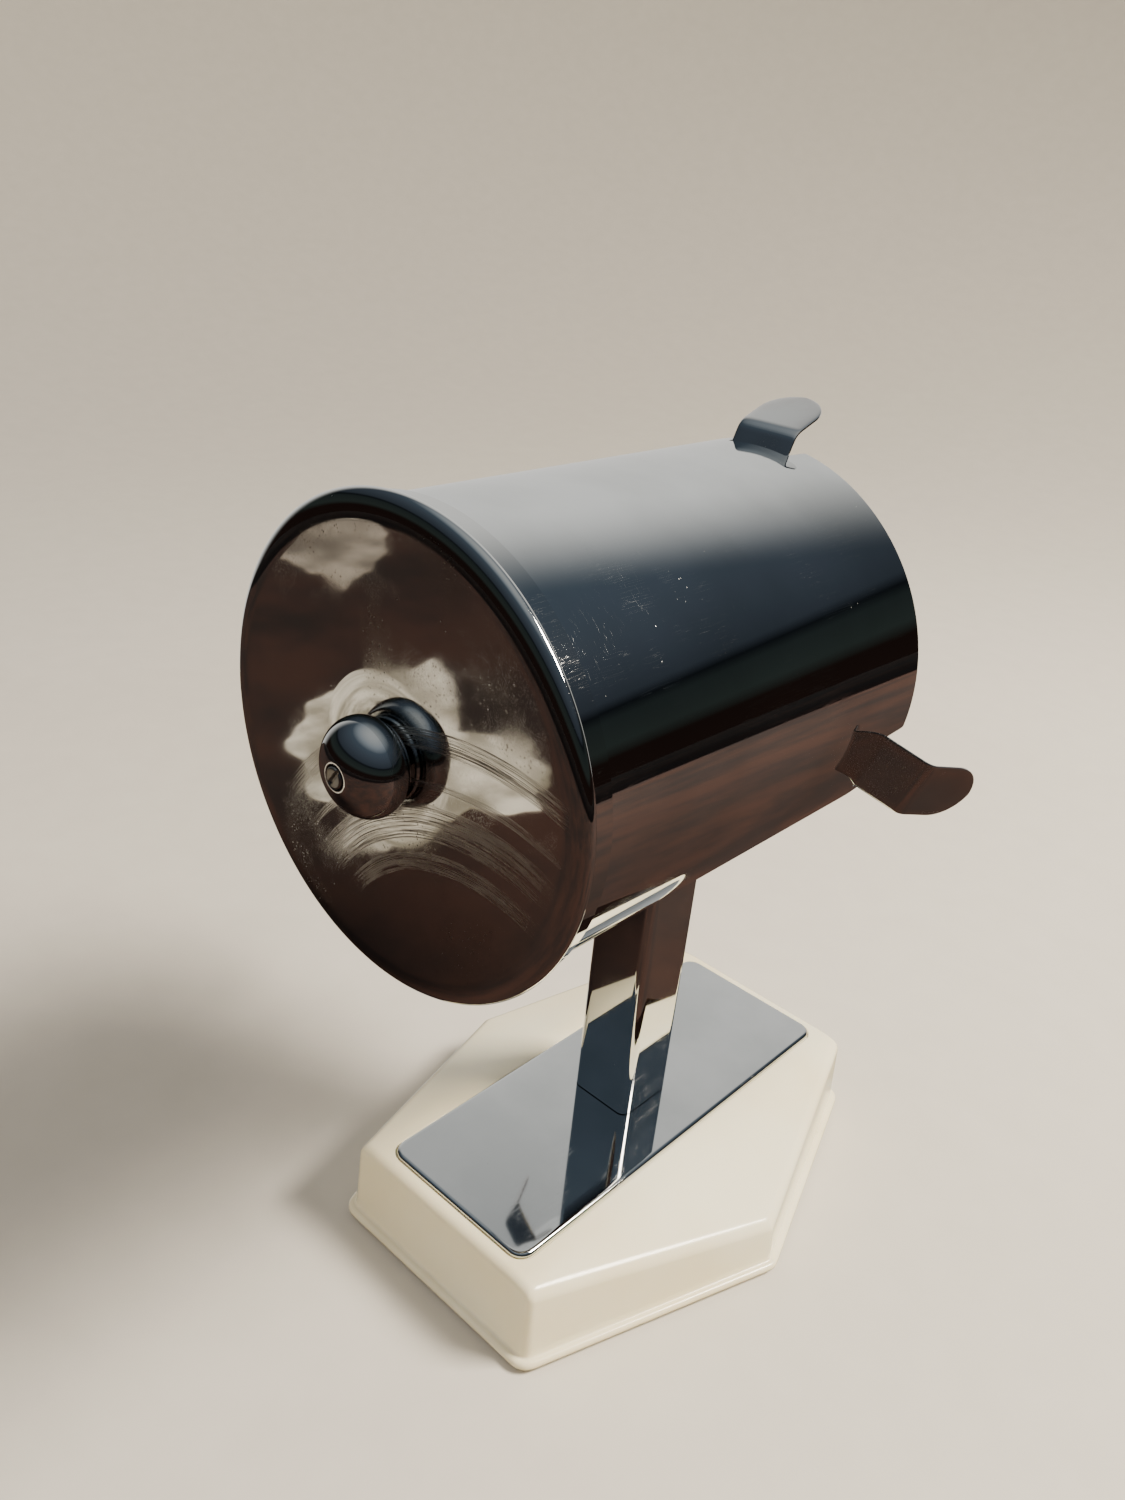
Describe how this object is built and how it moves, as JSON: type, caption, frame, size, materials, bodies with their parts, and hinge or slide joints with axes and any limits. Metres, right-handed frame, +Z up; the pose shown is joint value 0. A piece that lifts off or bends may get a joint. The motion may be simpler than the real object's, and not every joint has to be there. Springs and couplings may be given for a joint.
{
  "type": "extendable shaving mirror",
  "caption": "Table shaving mirror: a chromed drum on a square post and a weighted cream foot holds a sleeve that slides out with a tilting round mirror; lid and ball knob close the back",
  "frame": {"origin": "on the table under the post's centre, at the underside of the felt pad", "axes": "+Z is up the post; -Y is the way the mirror looks and slides out; +Y is the lid and knob; +X is across"},
  "size_m": [0.1454, 0.1999, 0.2485],
  "materials": {
    "cream_plastic": "glossy moulded ivory plastic",
    "chrome": "polished chromium plate with fine scratches",
    "cast_iron": "rough cast iron",
    "black_paint": "black enamel on sheet steel",
    "green_felt": "pressed wool felt",
    "zinc_steel": "zinc plated steel",
    "brass": "turned brass",
    "brown_card": "pressed fibre card",
    "silvered_glass": "silvered float glass"
  },
  "bodies": {
    "base": {"foot_shell": "cream_plastic", "top_plate": "chrome", "ballast_plate": "cast_iron", "bottom_cover": "black_paint", "felt_pad": "green_felt", "cover_screw_1": "zinc_steel", "cover_screw_2": "zinc_steel", "cover_screw_3": "zinc_steel", "cover_screw_4": "zinc_steel", "post": "chrome", "post_foot_block": "zinc_steel", "post_saddle_block": "zinc_steel", "tie_rod": "zinc_steel", "tie_washer": "zinc_steel", "tie_nut": "zinc_steel", "head_nut": "brass", "drum": "chrome", "rear_disc": "zinc_steel", "guide_ring": "green_felt", "lid": "chrome", "guide_rod": "zinc_steel", "rod_nut": "zinc_steel", "stop_nut": "zinc_steel", "stop_washer": "zinc_steel"},
    "knob_seat": {"knob_washer": "chrome"},
    "knob": {"lid_knob": "chrome"},
    "carriage": {"sleeve": "chrome", "rear_spider": "zinc_steel", "spider_bush": "brass", "finger_tab_top": "chrome", "finger_tab_left": "chrome", "finger_tab_right": "chrome", "pivot_pin_left": "zinc_steel", "pivot_pin_right": "zinc_steel", "tilt_washer_left": "brass", "tilt_washer_right": "brass"},
    "mirror": {"mirror_pan": "chrome", "mirror_backing": "brown_card", "mirror_glass": "silvered_glass", "bezel_ring": "chrome"}
  },
  "joints": [
    {"name": "mirror_extend", "type": "slide", "parent": "base", "child": "carriage", "axis": [0, -1, 0], "range_m": [0, 0.075]},
    {"name": "mirror_tilt", "type": "hinge", "parent": "carriage", "child": "mirror", "pos_m": [0, -0.0085, 0.1827], "axis": [1, 0, 0], "range_deg": [-25, 25]},
    {"name": "knob_back_off", "type": "slide", "parent": "base", "child": "knob_seat", "axis": [0, 1, 0], "range_m": [0, 0.0016]},
    {"name": "knob_turn", "type": "hinge", "parent": "knob_seat", "child": "knob", "pos_m": [0, 0.1089, 0.1827], "axis": [0, 1, 0], "range_deg": [0, 721]}
  ],
  "couplings": [
    {"joint": "knob_turn", "follows": "knob_back_off", "rad_per_m": 7854}
  ]
}
